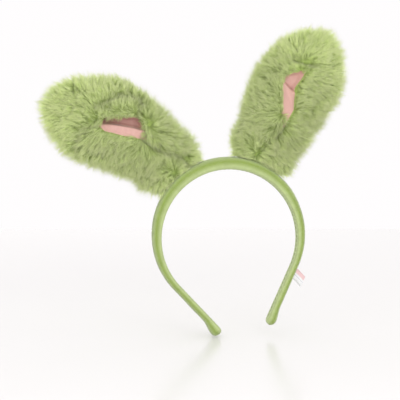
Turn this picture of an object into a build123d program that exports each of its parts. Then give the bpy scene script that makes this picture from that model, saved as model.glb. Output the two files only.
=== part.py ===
from build123d import *
import os
from math import acos, atan2, cos, hypot, pi, radians, sin, tan

# Animal-ears headband: a sprung plastic strip, padded and sleeved in velour, that carries two
# stuffed fur ears with satin-lined mouths.
# Millimetres. The origin is the centre of the crown's inner arc, which is the middle of the
# wearer's head. +Z is up, +Y is towards the back, and +X is the side called right.
# Angles on the band are counted from its top, outwards and down.

# ---- band ----
HEAD_RADIUS = 62.0          # inner face of the sleeve round the head
ARC_HALF_ANGLE = 124.0      # where each arm leaves the arc
ARM_LENGTH = 56.5           # straight inner face of each arm
CROWN_THICKNESS = 11.0      # sleeve outside to sleeve inside, at the top
SIDE_THICKNESS = 8.0        # the same, level with the origin
TIP_THICKNESS = 6.5         # the same, at the end of an arm
CROWN_WIDTH = 14.0          # front edge to back edge, at the top
TIP_WIDTH = 11.0            # the same, at the end of an arm
OUTER_ROUND = 4.8           # rounding of the band's outer edges
INNER_ROUND = 1.4           # rounding of the edges that touch the head
COVER_THICKNESS = 1.0       # velour sleeve
CORE_THICKNESS = 2.0        # plastic strip
CORE_EDGE_MARGIN = 1.3      # padding beside and beyond the strip

# ---- ears ----
SEAT_ANGLE = 31.0           # middle of each ear's seam on the band
SEAM_GAP = 0.3              # thread-thick gap between an ear's seam and the band
PINCH_ANGLE = 28.0          # each side of the pinched base, from the ear's middle plane
EAR_LENGTH = 138.5          # seam to tip along the ear's middle line
EAR_SEAM_WIDTH = 50.0       # ear where it meets the band
EAR_WIDTH = 77.0            # ear at its widest
EAR_WIDEST = 0.505          # share of the length at which it is widest
EAR_DEPTH = 33.0            # ear at its thickest, front to back
EAR_DEEPEST = 0.397         # share of the length at which it is thickest
SEAM_DEPTH = 5.0            # uncut thickness of the ear where the band cuts it
FUR_THICKNESS = 7.0         # fur cloth with its pile
LINING_THICKNESS = 1.0      # satin
MOUTH_DEPTH = 13.0          # front of the fur to the bottom of the lined pocket
LINING_DROP = 5.5           # front of the fur to the pocket's rim

# side: -1 is left, 1 is right. bend: how far the ear curls outwards from seam to tip.
# mouth_at: share of the ear's length at which its mouth has its middle.
# mouth_turn: how far the mouth leans outwards from the ear's middle line.
EARS = {
    "left": {"side": -1, "bend": 45.0, "mouth_length": 44.0, "mouth_width": 19.0,
             "mouth_at": 0.477, "mouth_across": -2.5, "mouth_turn": 18.0},
    "right": {"side": 1, "bend": 17.0, "mouth_length": 54.0, "mouth_width": 19.0,
              "mouth_at": 0.505, "mouth_across": -1.5, "mouth_turn": -16.0},
}

# ---- label ----
LABEL_WIDTH = 11.0          # along the arm
LABEL_REACH = 11.0          # out from the arm
LABEL_TAPE = 0.3            # satin tape, which is folded in two
LABEL_FOLD = 0.3            # space inside the fold
LABEL_AT = 4.5              # from the end of the arc to the label's middle

# ---- rounding of the ears' outline ----
BREADTH_FULLNESS = 0.7      # smaller widens the ear sooner above its seam
DEPTH_FULLNESS = 0.8        # smaller thickens it sooner
TIP_FULLNESS = 2.2          # larger keeps the ear wide for longer
TIP_SHARPNESS = 0.6         # larger makes the tip more pointed
TIP_FLAT = 1.0              # length of the sharp end that is left off

# Shares of an ear's length at which its outside and its stuffing are drawn. The band trims
# the first outside one, and the stuffing stops short of the pinched base.
OUTSIDE_STATIONS = [-0.05, 0.058, 0.202, 0.375, 0.563, 0.736, 0.866, 0.946]
STUFFING_STATIONS = [0.173, 0.325, 0.505, 0.686, 0.809, 0.888]

SAME_PLACE = 0.01           # two points nearer than this are one place

# ---- worked out ----
CROWN_OUTER = HEAD_RADIUS + CROWN_THICKNESS
SIDE_OUTER = HEAD_RADIUS + SIDE_THICKNESS
OUTER_DROP = (CROWN_OUTER**2 - SIDE_OUTER**2) / (2 * CROWN_OUTER)
OUTER_RADIUS = CROWN_OUTER - OUTER_DROP
WIDEST_AT = EAR_WIDEST * EAR_LENGTH
DEEPEST_AT = EAR_DEEPEST * EAR_LENGTH


def turn(angle, length=1.0):
    """A vector in the band's plane, as (x, z), at an angle from straight up."""
    return Vector(length * sin(radians(angle)), length * cos(radians(angle)))


ARM_START = turn(ARC_HALF_ANGLE, HEAD_RADIUS)
ARM_OUT = turn(ARC_HALF_ANGLE)
ARM_ALONG = turn(ARC_HALF_ANGLE + 90)
OUTER_CENTRE = Vector(0, OUTER_DROP)
TIP_OUTER = ARM_START + ARM_ALONG * ARM_LENGTH + ARM_OUT * TIP_THICKNESS


def leaving_angle():
    """Angle at which the outer face turns from its arc into the line to the arm's end."""
    reach = TIP_OUTER - OUTER_CENTRE
    length = hypot(reach.X, reach.Y)
    return (atan2(reach.X, reach.Y) - acos(OUTER_RADIUS / length)) * 180 / pi


LEAVING_ANGLE = leaving_angle()
SEAT = OUTER_CENTRE + turn(SEAT_ANGLE, OUTER_RADIUS)
LOWEST = min(TIP_OUTER.Y, (TIP_OUTER - ARM_OUT * TIP_THICKNESS).Y)


def mirrored(point):
    return Vector(-point.X, point.Y)


def arm_line_point(inset, along):
    """Point of the right arm's outer line, set in, at a distance along the arm."""
    start = OUTER_CENTRE + turn(LEAVING_ANGLE, OUTER_RADIUS - inset)
    direction = turn(LEAVING_ANGLE + 90)
    missing = along - (start - ARM_START).dot(ARM_ALONG)
    return start + direction * (missing / direction.dot(ARM_ALONG))


def band_outline(inset):
    """The band seen from the front: true arc inside, fuller at the crown, straight arms."""
    arm_in = ARM_START + ARM_OUT * inset
    tip_in = arm_in + ARM_ALONG * (ARM_LENGTH - inset)
    tip_out = arm_line_point(inset, ARM_LENGTH - inset)
    leave = OUTER_CENTRE + turn(LEAVING_ANGLE, OUTER_RADIUS - inset)
    top_in = Vector(0, HEAD_RADIUS + inset)
    top_out = Vector(0, CROWN_OUTER - inset)
    return make_face([
        ThreePointArc(mirrored(arm_in), top_in, arm_in),
        Line(arm_in, tip_in),
        Line(tip_in, tip_out),
        Line(tip_out, leave),
        ThreePointArc(leave, top_out, mirrored(leave)),
        Line(mirrored(leave), mirrored(tip_out)),
        Line(mirrored(tip_out), mirrored(tip_in)),
        Line(mirrored(tip_in), mirrored(arm_in)),
    ])


def half_width(level):
    """Half the band's width at a level, tapering evenly from crown to arm ends."""
    share = (level - LOWEST) / (CROWN_OUTER - LOWEST)
    return (TIP_WIDTH + (CROWN_WIDTH - TIP_WIDTH) * share) / 2


def tapered_slab(inset):
    """Everything between the band's front and back edges, which lean towards each other."""
    top = CROWN_OUTER + CROWN_WIDTH
    low = LOWEST - CROWN_WIDTH
    edge = Polyline(
        (half_width(top) - inset, top), (inset - half_width(top), top),
        (inset - half_width(low), low), (half_width(low) - inset, low), close=True,
    )
    return extrude(Plane.YZ * make_face(edge), amount=2 * CROWN_OUTER, both=True)


def tip_trim(side, inset):
    """What is cut off an arm's square end to leave a half-round paddle."""
    radius = half_width(LOWEST) - inset
    centre = ARM_START + ARM_ALONG * (ARM_LENGTH - inset - radius)
    reach = CROWN_WIDTH
    plane = Plane(
        origin=(side * centre.X, 0, centre.Y),
        x_dir=(side * ARM_ALONG.X, 0, ARM_ALONG.Y),
        z_dir=(side * ARM_OUT.X, 0, ARM_OUT.Y),
    )
    blank = Pos(reach / 2, 0) * Rectangle(reach, 2 * reach)
    return extrude(plane * (blank - Circle(radius)), amount=2 * reach, both=True)


def in_plane(point):
    """A point in space, folded to the right side of the band, as (x, z)."""
    return Vector(abs(point.X), point.Z)


def on_inner_face(point, inset):
    """Whether a point lies on the face towards the head, set in by a distance."""
    flat = in_plane(point)
    on_arc = abs(hypot(flat.X, flat.Y) - HEAD_RADIUS - inset) < SAME_PLACE
    return on_arc or abs((flat - ARM_START).dot(ARM_OUT) - inset) < SAME_PLACE


def at_arm_end(point, inset):
    """Whether a point lies on the square end of an arm."""
    along = (in_plane(point) - ARM_START).dot(ARM_ALONG)
    return abs(along - ARM_LENGTH + inset) < SAME_PLACE


def band_form(inset, inner_round=0.0):
    """The band's outside, set in by a distance: flat towards the head, rounded outside."""
    form = extrude(Plane.XZ * band_outline(inset), amount=CROWN_WIDTH, both=True)
    form = form & tapered_slab(inset)
    rims = [
        edge for edge in form.edges().filter_by(Axis.Y, reverse=True)
        if not at_arm_end(edge @ 0.5, inset)
    ]
    form = fillet(
        [edge for edge in rims if not on_inner_face(edge @ 0.5, inset)], OUTER_ROUND - inset
    )
    if inner_round:
        rims = [
            edge for edge in form.edges().filter_by(Axis.Y, reverse=True)
            if not at_arm_end(edge @ 0.5, inset) and on_inner_face(edge @ 0.5, inset)
        ]
        form = fillet(rims, inner_round)
    for side in (-1, 1):
        form = form - tip_trim(side, inset)
    return form


def strip_form():
    """The sprung strip: even thickness, half-round ends, against the sleeve's inner face."""
    inner = HEAD_RADIUS + COVER_THICKNESS
    outer = inner + CORE_THICKNESS
    length = ARM_LENGTH - COVER_THICKNESS - CORE_EDGE_MARGIN
    arm_in = turn(ARC_HALF_ANGLE, inner)
    arm_out = turn(ARC_HALF_ANGLE, outer)
    tip_in = arm_in + ARM_ALONG * length
    tip_out = arm_out + ARM_ALONG * length
    outline = make_face([
        ThreePointArc(mirrored(arm_in), Vector(0, inner), arm_in),
        Line(arm_in, tip_in),
        Line(tip_in, tip_out),
        Line(tip_out, arm_out),
        ThreePointArc(arm_out, Vector(0, outer), mirrored(arm_out)),
        Line(mirrored(arm_out), mirrored(tip_out)),
        Line(mirrored(tip_out), mirrored(tip_in)),
        Line(mirrored(tip_in), mirrored(arm_in)),
    ])
    margin = COVER_THICKNESS + CORE_EDGE_MARGIN
    form = extrude(Plane.XZ * outline, amount=CROWN_WIDTH, both=True) & tapered_slab(margin)
    for side in (-1, 1):
        form = form - tip_trim(side, margin)
    return form


# ---- ear forms ----

def spine_angle(ear, along):
    """Direction of the ear's middle line, from straight up, at a distance from the seam."""
    return SEAT_ANGLE + ear["bend"] * along / EAR_LENGTH


def spine_plane(ear, along):
    """Plane across the ear: x outwards across it, y through its depth, z along it."""
    side = ear["side"]
    radius = EAR_LENGTH / radians(ear["bend"])
    start = turn(SEAT_ANGLE)
    here = turn(spine_angle(ear, along))
    x = SEAT.X + radius * (start.Y - here.Y)
    z = SEAT.Y + radius * (here.X - start.X)
    return Plane(
        origin=(side * x, 0, z),
        x_dir=(side * here.Y, 0, -here.X),
        z_dir=(side * here.X, 0, here.Y),
    )


def falling(share):
    """One at 0, nothing at 1, rounded like an ear's end between them."""
    return (1 - share**TIP_FULLNESS) ** TIP_SHARPNESS


def rising(share, start, end, fullness):
    """From start at 0 to end at 1, levelling off."""
    return start + (end - start) * sin(pi / 2 * share) ** fullness


def half_breadth(along, inset):
    """Half the ear's width at a distance from the seam, set in by a distance."""
    seam, widest = EAR_SEAM_WIDTH / 2 - inset, EAR_WIDTH / 2 - inset
    if along <= 0:
        return seam
    if along < WIDEST_AT:
        return rising(along / WIDEST_AT, seam, widest, BREADTH_FULLNESS)
    return widest * falling((along - WIDEST_AT) / (EAR_LENGTH - inset - WIDEST_AT))


def half_depth(along, inset):
    """Half the ear's thickness at a distance from the seam, set in by a distance."""
    seam, deepest = SEAM_DEPTH / 2 - inset, EAR_DEPTH / 2 - inset
    if along <= 0:
        return seam
    if along < DEEPEST_AT:
        return rising(along / DEEPEST_AT, seam, deepest, DEPTH_FULLNESS)
    return deepest * falling((along - DEEPEST_AT) / (EAR_LENGTH - inset - DEEPEST_AT))


def oval(across, through):
    """An ellipse of two halves, which meet in the middle of its front and its back."""
    return make_face([
        EllipticalCenterArc((0, 0), across, through, 90, arc_size=180),
        EllipticalCenterArc((0, 0), across, through, 270, arc_size=180),
    ]).face()


def ear_form(ear, stations, inset):
    """Ovals across the ear's middle line, joined by one smooth skin with a small blunt tip."""
    places = [share * EAR_LENGTH for share in stations] + [EAR_LENGTH - inset - TIP_FLAT]
    return loft([
        spine_plane(ear, along) * oval(half_breadth(along, inset), half_depth(along, inset))
        for along in places
    ])


def half_space(facing):
    """Everything in front of the ears' middle plane, facing -1, or behind it, facing 1."""
    size = 4 * EAR_LENGTH
    return Pos(0, facing * size / 2, 0) * Box(2 * size, size, 2 * size)


def seam_groove(facing):
    """Ring under the ears that slopes one side of each base down to its seam on the band."""
    line = OUTER_RADIUS + SEAM_GAP
    reach = facing * EAR_DEPTH
    rise = EAR_DEPTH / tan(radians(PINCH_ANGLE))
    section = make_face(Polyline(
        (0, reach), (line + rise, reach), (line - rise / 10, -reach / 10), (0, -reach / 10),
        close=True,
    ))
    return Pos(0, 0, OUTER_DROP) * revolve(section, axis=Axis.Y)


def mouth_plane(ear):
    """Plane of the mouth: origin on the ear's middle plane, x along the mouth, z forwards."""
    middle = ear["mouth_at"] * EAR_LENGTH
    at = spine_plane(ear, middle)
    centre = at.origin + at.x_dir * ear["mouth_across"]
    lean = turn(spine_angle(ear, middle) + ear["mouth_turn"])
    return Plane(origin=centre, x_dir=(ear["side"] * lean.X, 0, lean.Y), z_dir=(0, -1, 0))


def pocket(ear, extra):
    """The mouth's hollow, grown by a wall: a spindle along the mouth, open at the front."""
    length = ear["mouth_length"] / 2 + extra
    width = ear["mouth_width"] / 2 + extra
    level = half_depth(ear["mouth_at"] * EAR_LENGTH, 0.0) - MOUTH_DEPTH - extra + width
    spindle = scale(Sphere(1.0), (length, width, width))
    return mouth_plane(ear) * Pos(0, 0, level) * spindle


def behind_rim(ear):
    """Everything behind the rim of the mouth's lining."""
    size = 4 * EAR_LENGTH
    rim = LINING_DROP - half_depth(ear["mouth_at"] * EAR_LENGTH, 0.0)
    return Pos(0, rim + size / 2, 0) * Box(2 * size, size, 2 * size)


def make_ear(name, ear):
    """One ear as its own pieces: two fur panels, stuffing, and the satin in its mouth."""
    outside = ear_form(ear, OUTSIDE_STATIONS, 0.0)
    stuffing = ear_form(ear, STUFFING_STATIONS, FUR_THICKNESS)
    hollow = pocket(ear, 0.0)
    lined = pocket(ear, LINING_THICKNESS) & behind_rim(ear)
    back = (outside & half_space(1)) - seam_groove(1) - stuffing
    front = (outside & half_space(-1)) - seam_groove(-1) - stuffing
    save(f"{name}_ear_back", back)
    save(f"{name}_ear_front", front - lined - hollow)
    save(f"{name}_ear_filling", stuffing - lined - hollow)
    save(f"{name}_ear_lining", lined - hollow)


def make_label():
    """A folded satin tape that stands out of the right arm's outer seam."""
    start = arm_line_point(0.0, LABEL_AT)
    out = turn(LEAVING_ANGLE)
    along = turn(LEAVING_ANGLE + 90)
    plane = Plane(
        origin=(start.X, 0, start.Y), x_dir=(out.X, 0, out.Y), z_dir=(along.X, 0, along.Y)
    )
    outside = folded(LABEL_REACH, LABEL_FOLD / 2 + LABEL_TAPE)
    inside = folded(LABEL_REACH - LABEL_TAPE, LABEL_FOLD / 2)
    save("label", extrude(plane * (outside - inside), amount=LABEL_WIDTH / 2, both=True))


def folded(reach, radius):
    """A flat shape with a square end at the arm and a round end at the fold."""
    straight = reach - radius
    flat = Pos(straight / 2, 0) * Rectangle(straight, 2 * radius)
    return flat + Pos(straight, 0) * Circle(radius)


def make_band():
    """Sleeve, padding and strip, one inside the other."""
    cavity = band_form(COVER_THICKNESS)
    strip = strip_form()
    save("band_cover", band_form(0.0, INNER_ROUND) - cavity)
    save("band_padding", cavity - strip)
    save("band_core", strip)


def save(node, form):
    form.label = node
    export_step(form, f"parts/{node}.step")


os.makedirs("parts", exist_ok=True)
make_band()
for ear_name, ear_sizes in EARS.items():
    make_ear(ear_name, ear_sizes)
make_label()
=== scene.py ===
from math import cos, pi, radians, sin

import bpy
import numpy as np
from bpy.props import FloatProperty, FloatVectorProperty, IntProperty, PointerProperty
from mathutils import Matrix, Vector


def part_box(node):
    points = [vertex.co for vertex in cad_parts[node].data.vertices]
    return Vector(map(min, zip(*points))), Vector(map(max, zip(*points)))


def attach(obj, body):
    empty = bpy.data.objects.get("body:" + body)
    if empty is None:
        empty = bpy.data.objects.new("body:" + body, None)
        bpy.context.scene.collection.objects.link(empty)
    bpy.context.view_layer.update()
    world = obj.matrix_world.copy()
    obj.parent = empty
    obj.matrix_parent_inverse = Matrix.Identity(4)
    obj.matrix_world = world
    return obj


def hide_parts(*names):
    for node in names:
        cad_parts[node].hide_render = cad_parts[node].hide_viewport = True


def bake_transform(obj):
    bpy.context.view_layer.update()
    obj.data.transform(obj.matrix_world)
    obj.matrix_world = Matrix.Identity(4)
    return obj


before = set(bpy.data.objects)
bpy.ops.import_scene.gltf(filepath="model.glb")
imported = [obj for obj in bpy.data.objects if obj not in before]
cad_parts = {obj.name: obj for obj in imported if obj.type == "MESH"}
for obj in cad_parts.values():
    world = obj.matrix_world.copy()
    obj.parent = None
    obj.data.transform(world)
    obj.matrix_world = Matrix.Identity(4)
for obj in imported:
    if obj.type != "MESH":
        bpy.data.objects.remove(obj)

bl_info = {
    "name": "Plush ears headband",
    "version": (1, 0, 0),
    "blender": (4, 5, 0),
    "location": "3D View > Sidebar > Headband",
    "description": "Velour headband with two long-pile rabbit ears, their satin mouths and stitching",
    "category": "Object",
}

MM = 0.001
FRONT, BACK = -1, 1
TO_BACK = np.array([0.0, 1.0, 0.0])
OFF_AXIS = np.array([0.13, 0.98, 0.17])     # a direction that no wire here follows

# Places on an ear are (distance from its seam on the band, distance outwards across it), in
# millimetres, and so are its other lengths. bend is in degrees.
# mouth: outline of the opening. creases: valleys pressed into the fur.
# swells: (distance from the seam, which side, how far out, over what length) of the outline.
# pucker: where pleats fan out. lip_hang: how far the fur over the mouth hangs into it.
# locks: how far a lock's tips draw together. ruffle: how much small locks turn aside.
# fold_from, fold_towards, fold_width: where the satin steps from shallow to deep.
EARS = {
    "left": {
        "side": -1, "bend": 45.0, "seed": 11,
        "mouth": [(89, 5), (82, -5.5), (73, -9), (60, -17), (53, -14), (44, -4), (53, 1.5),
                  (64, 5), (79, 8.5)],
        "creases": [
            [(46, -2), (36, -3), (25, -4), (14, -8), (4, -10)],
            [(58, -17), (62, -26), (75, -25), (84, -16), (93, -5)],
            [(88, 6), (94, 11), (99, 22), (98, 31)],
        ],
        "swells": [(104, 1, 6.0, 25), (31, 1, -4.5, 7), (36, -1, -3.5, 18), (82, -1, 2.0, 10)],
        "pucker": (4, 2), "lip_hang": 0.75, "shorter": -2.5, "locks": 0.50,
        "fold_from": (68, -3.5), "fold_towards": (0.35, -1.0),
        "shallow": 2.0, "deep": 15.0, "fold_width": 2.2,
        "upper_rim": 9.0, "ruffle": 0.55,
    },
    "right": {
        "side": 1, "bend": 17.0, "seed": 23,
        "mouth": [(76, -15.5), (85, -10), (96, 2), (88, 1.5), (75, 0.5), (57, 8.5), (34, 7.5),
                  (48, 0.5), (66, -9)],
        "creases": [
            [(93, -12), (97, -2), (100, 5)],
            [(40, 5), (33, 5), (28, 4)],
        ],
        "swells": [(95, 1, 3.5, 28), (32, -1, -4.5, 16), (2, 1, 5.0, 9), (66, 1, -1.5, 5)],
        "pucker": (6, -4), "lip_hang": 0.0, "shorter": 2.0, "locks": 0.44,
        "fold_from": (73, -5), "fold_towards": (1.0, 0.25),
        "shallow": 1.4, "deep": 6.0, "fold_width": 0.7,
        "upper_rim": 2.5, "ruffle": 0.4,
    },
}
for one in EARS.values():
    one.update({key: np.array(one[key], float)
                for key in ("mouth", "pucker", "fold_from", "fold_towards")})


# ------------ sizes and colours

def length(name, description, default):
    return FloatProperty(name=name, description=description, default=default,
                         unit="LENGTH", subtype="DISTANCE", precision=5)


def number(name, description, default):
    kind = IntProperty if isinstance(default, int) else FloatProperty
    return kind(name=name, description=description, default=default)


def colour(name, description, default):
    return FloatVectorProperty(name=name, description=description, default=default,
                               subtype="COLOR", size=3, min=0.0, max=1.0)


class BandSizes(bpy.types.PropertyGroup):
    head_radius: length("Head radius", "Inner face round the head", 0.062)
    arc_half_angle: number("Arc half angle", "Degrees from the top to where arms go straight",
                           124.0)
    arm_length: length("Arm length", "Straight part of each arm", 0.0565)
    crown_thickness: length("Crown thickness", "Padded thickness at the top", 0.011)
    side_thickness: length("Side thickness", "Padded thickness at the sides", 0.008)
    tip_thickness: length("Tip thickness", "Padded thickness at an arm's end", 0.0065)
    crown_width: length("Crown width", "Front edge to back edge at the top", 0.014)
    tip_width: length("Tip width", "Front edge to back edge at an arm's end", 0.011)
    fullness: number("Fullness", "Width of the sleeve over its cut", 1.10)
    press: number("Press", "Thickness of the sides over their cut", 0.93)
    left_bulge: length("Left bulge", "Swelling of the gathered left end", 0.0030)
    right_bulge: length("Right bulge", "Swelling of the gathered right end", 0.0020)
    nap_length: length("Nap length", "Pile of the velour", 0.0006)
    nap_count: number("Nap count", "Tufts of velour pile", 72000)


class EarSizes(bpy.types.PropertyGroup):
    seat_angle: number("Seat angle", "Degrees from the top to the middle of each seam", 31.0)
    ear_length: length("Ear length", "Seam to tip along the middle line", 0.1385)
    seam_width: length("Seam width", "Ear where it meets the band", 0.050)
    ear_width: length("Ear width", "Ear at its widest, with its fur", 0.077)
    widest: length("Widest place", "Distance of the widest place from the seam", 0.070)
    ear_depth: length("Ear depth", "Ear at its thickest, with its fur", 0.033)
    deepest: length("Thickest place", "Distance of the thickest place from the seam", 0.055)
    seam_gap: length("Seam gap", "Thread between ear and band", 0.0003)
    skin_inset: length("Skin inset", "Depth of the fur's backing under its outside", 0.0062)
    pile_length: length("Pile length", "Fur fibres", 0.0125)
    tuft_count: number("Tuft count", "Fibres on each ear", 72000)
    clump_count: number("Clump count", "Locks of fur on each ear", 11000)


class HeadbandColours(bpy.types.PropertyGroup):
    fur_root: colour("Fur root", "Fur near its backing", (0.430, 0.560, 0.145))
    fur_middle: colour("Fur middle", "Fur halfway up", (0.660, 0.785, 0.300))
    # the pale tip is partly the fur's own tone and partly a painted glow of light through the fibre
    # ends
    fur_tip: colour("Fur tip", "Ends of the fur", (0.850, 0.900, 0.530))
    velour: colour("Velour", "Sleeve of the band", (0.300, 0.398, 0.098))
    # the sleeve's colour where sheen is painted on its two broad faces
    velour_painted_sheen: colour("Pale velour", "Sleeve where it is worn", (0.455, 0.540, 0.250))
    satin: colour("Satin", "Lining of the mouths", (0.710, 0.415, 0.370))
    thread: colour("Thread", "Sewing thread of the ears", (0.090, 0.140, 0.040))
    loose_thread: colour("Loose thread", "Bluish thread loop", (0.270, 0.350, 0.370))
    tape: colour("Tape", "Folded label", (0.900, 0.900, 0.920))
    tape_stripe: colour("Tape stripe", "Block woven into the label", (0.870, 0.600, 0.610))
    floor: colour("Floor", "Table top and backdrop", (0.870, 0.855, 0.860))


class HeadbandSettings(bpy.types.PropertyGroup):
    band: PointerProperty(type=BandSizes)
    ears: PointerProperty(type=EarSizes)
    colours: PointerProperty(type=HeadbandColours)


def settings():
    return bpy.context.scene.plush_headband


# ------------ meshes

def unit(v):
    """Vectors along the last axis, each scaled to length one."""
    return v / np.maximum(np.linalg.norm(v, axis=-1, keepdims=True), 1e-12)


def around(count):
    """Angles of a full turn in equal steps."""
    return np.arange(count) * 2 * pi / count


def spokes(side, up, count):
    """Directions (..., count, 3) of a full turn in the plane of two directions (..., 3)."""
    turn = around(count)[:, None]
    return side[..., None, :] * np.cos(turn) + up[..., None, :] * np.sin(turn)


def smooth(x, low, high):
    """Nothing below low, one above high, and 3t^2 - 2t^3 between them."""
    t = np.clip((x - low) / (high - low), 0.0, 1.0)
    return t * t * (3 - 2 * t)


def link(name, data):
    """A new object in the scene."""
    made = bpy.data.objects.new(name, data)
    bpy.context.scene.collection.objects.link(made)
    return made


def triangle_mesh(name, points, triangles, marks=None, rounded=True):
    """An object from arrays: points (n, 3), triangles (m, 3) and three marks for each point.

    The triangles are turned over together if the volume they enclose comes out negative.
    rounded says whether the faces are shaded as one smooth surface."""
    a, b, c = (points[triangles[:, k]] for k in range(3))
    if np.einsum("ij,ij->i", a, np.cross(b, c)).sum() < 0:
        triangles = triangles[:, ::-1]
    mesh = bpy.data.meshes.new(name)
    count = len(triangles)
    mesh.vertices.add(len(points))
    mesh.vertices.foreach_set("co", np.ascontiguousarray(points, np.float32).ravel())
    mesh.loops.add(3 * count)
    mesh.loops.foreach_set("vertex_index", np.ascontiguousarray(triangles, np.int32).ravel())
    mesh.polygons.add(count)
    mesh.polygons.foreach_set("loop_start", np.arange(0, 3 * count, 3, dtype=np.int32))
    mesh.polygons.foreach_set("use_smooth", np.full(count, rounded))
    mesh.update(calc_edges=True)
    if marks is not None:
        layer = mesh.attributes.new("pile", "FLOAT_VECTOR", "POINT")
        layer.data.foreach_set("vector", np.ascontiguousarray(marks, np.float32).ravel())
    mesh.validate()
    return link(name, mesh)


def tube_triangles(rows, columns):
    """Triangles of a tube of rings, with a point added at each end to close it."""
    r, c = np.meshgrid(np.arange(rows - 1), np.arange(columns), indexing="ij")
    right = (c + 1) % columns
    here, beside = r * columns + c, r * columns + right
    above, across = here + columns, beside + columns
    walls = np.stack([
        np.stack([here, beside, across], -1), np.stack([here, across, above], -1),
    ], 2).reshape(-1, 3)
    ring = np.arange(columns)
    following = (ring + 1) % columns
    start, end = rows * columns, rows * columns + 1
    last = (rows - 1) * columns
    first_cap = np.stack([np.full(columns, start), following, ring], -1)
    last_cap = np.stack([np.full(columns, end), last + ring, last + following], -1)
    return np.concatenate([walls, first_cap, last_cap])


def closed_tube(name, rings, marks=None, start=None, end=None):
    """A closed surface from rings (rows, columns, 3), with a point in the middle of each end."""
    rows, columns = rings.shape[:2]
    start = rings[0].mean(0) if start is None else start
    end = rings[-1].mean(0) if end is None else end
    points = np.concatenate([rings.reshape(-1, 3), [start], [end]])
    if marks is not None:
        marks = np.concatenate([marks.reshape(-1, 3), [marks[0].mean(0)], [marks[-1].mean(0)]])
    return triangle_mesh(name, points, tube_triangles(rows, columns), marks)


def repeated(triangles, count, points_each):
    """The triangles of one form for count copies of it, whose points follow one another."""
    first = np.arange(count) * points_each
    return (np.array(triangles)[None] + first[:, None, None]).reshape(-1, 3)


def wires(name, path, radius, sides):
    """Closed round wires along paths (wires, rows, 3), as one mesh.

    Each point of a path is moved out by cos and sin round the path's direction."""
    along = unit(np.gradient(path, axis=1))
    side = unit(np.cross(along, OFF_AXIS))
    rings = path[:, :, None] + radius * spokes(side, np.cross(along, side), sides)
    count, rows = path.shape[:2]
    ends = np.stack([rings[:, 0].mean(1), rings[:, -1].mean(1)], 1)
    points = np.concatenate([rings.reshape(count, -1, 3), ends], 1)
    triangles = repeated(tube_triangles(rows, sides), count, points.shape[1])
    return triangle_mesh(name, points.reshape(-1, 3), triangles)


def surface_normals(rings):
    """Cross product of the steps along and around a ring grid, made to point outwards."""
    along = np.gradient(rings, axis=0)
    beside = np.roll(rings, -1, 1) - np.roll(rings, 1, 1)
    normals = unit(np.cross(along, beside))
    middle = rings.mean(1, keepdims=True)
    if np.einsum("rci,rci->", normals, rings - middle) < 0:
        normals = -normals
    return normals


def scatter(rng, rings, count, weight):
    """Random places on a ring grid, spread by area times the weight at each grid point.

    A place is (row, column, share towards the next row, share towards the next column)."""
    along = np.diff(rings, axis=0)
    beside = (np.roll(rings, -1, 1) - rings)[:-1]
    area = np.linalg.norm(np.cross(along, beside), axis=-1) * weight[:-1]
    total = np.cumsum(area.ravel())
    cell = np.searchsorted(total, rng.random(count) * total[-1])
    cell = np.minimum(cell, area.size - 1)
    row, column = np.divmod(cell, area.shape[1])
    return row, column, rng.random(count), rng.random(count)


def at(grid, place):
    """Values of a ring grid at scattered places, by bilinear blending."""
    row, column, f, g = place
    beside = (column + 1) % grid.shape[1]
    if grid.ndim == 3:
        f, g = f[:, None], g[:, None]
    low = grid[row, column] * (1 - g) + grid[row, beside] * g
    high = grid[row + 1, column] * (1 - g) + grid[row + 1, beside] * g
    return low * (1 - f) + high * f


def bell(x, width):
    """One at nothing, and falling off on both sides as a Gaussian of the width."""
    return np.exp(-((x / width) ** 2))


def wavy(points, waves, seed):
    """Smooth noise from -1 to 1: the mean of a few sine waves in random directions."""
    rng = np.random.default_rng(seed)
    total = np.zeros(points.shape[:-1])
    for wavelength in waves:
        direction = unit(rng.normal(size=3))
        total = total + np.sin(points @ direction * (2 * pi / wavelength) + rng.random() * 2 * pi)
    return total / len(waves)


# ------------ the band's form

WAIST = 0.40     # share of the band's thickness at which it is widest
SWELL = 0.00018  # unevenness of the padding under the velour


def outer_circle():
    """Drop and radius of the circle that the band's outer face follows."""
    band = settings().band
    crown = band.head_radius + band.crown_thickness
    side = band.head_radius + band.side_thickness
    drop = (crown**2 - side**2) / (2 * crown)
    return drop, crown - drop


def directions(angle, side=1):
    """At angles from straight up towards one side: outwards, and square to that, down the arc."""
    angle = np.asarray(angle, float)
    x, z, zero = side * np.sin(angle), np.cos(angle), np.zeros_like(angle)
    return np.stack([x, zero, z], -1), np.stack([side * z, zero, -np.sin(angle)], -1)


def arc_reach():
    """From the top along the band's inner face to where an arm turns straight."""
    band = settings().band
    return radians(band.arc_half_angle) * band.head_radius


def band_place(distance):
    """Inner face of the band at signed distances from the top: points and outward directions.

    An arc of the head's radius, then a straight line that leaves it at a tangent."""
    band = settings().band
    limit = arc_reach()
    on_arc = np.clip(distance, -limit, limit)
    out, along = directions(on_arc / band.head_radius)
    return out * band.head_radius + along * (distance - on_arc)[..., None], out


def band_thickness(distance):
    """Inner face to outer circle along the outward direction, easing to the tip's thickness.

    The sides are pressed a little thinner, and each end swells where the cloth is gathered."""
    band = settings().band
    drop, radius = outer_circle()
    limit = arc_reach()
    from_top = np.abs(distance)
    angle = np.clip(from_top, 0, limit) / band.head_radius
    arc = (drop * np.cos(angle) + np.sqrt(radius**2 - (drop * np.sin(angle)) ** 2)
           - band.head_radius)
    share = np.clip((from_top - limit) / band.arm_length, 0, 1)
    plain = arc * (1 - share) + band.tip_thickness * share
    pressed = 1 - (1 - band.press) * smooth(from_top, 0.05, 0.09)
    from_end = limit + band.arm_length - from_top
    bulge = np.where(distance < 0, band.left_bulge, band.right_bulge)
    return plain * pressed + bulge * (1 - smooth(from_end, 0.005, 0.019))


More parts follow.
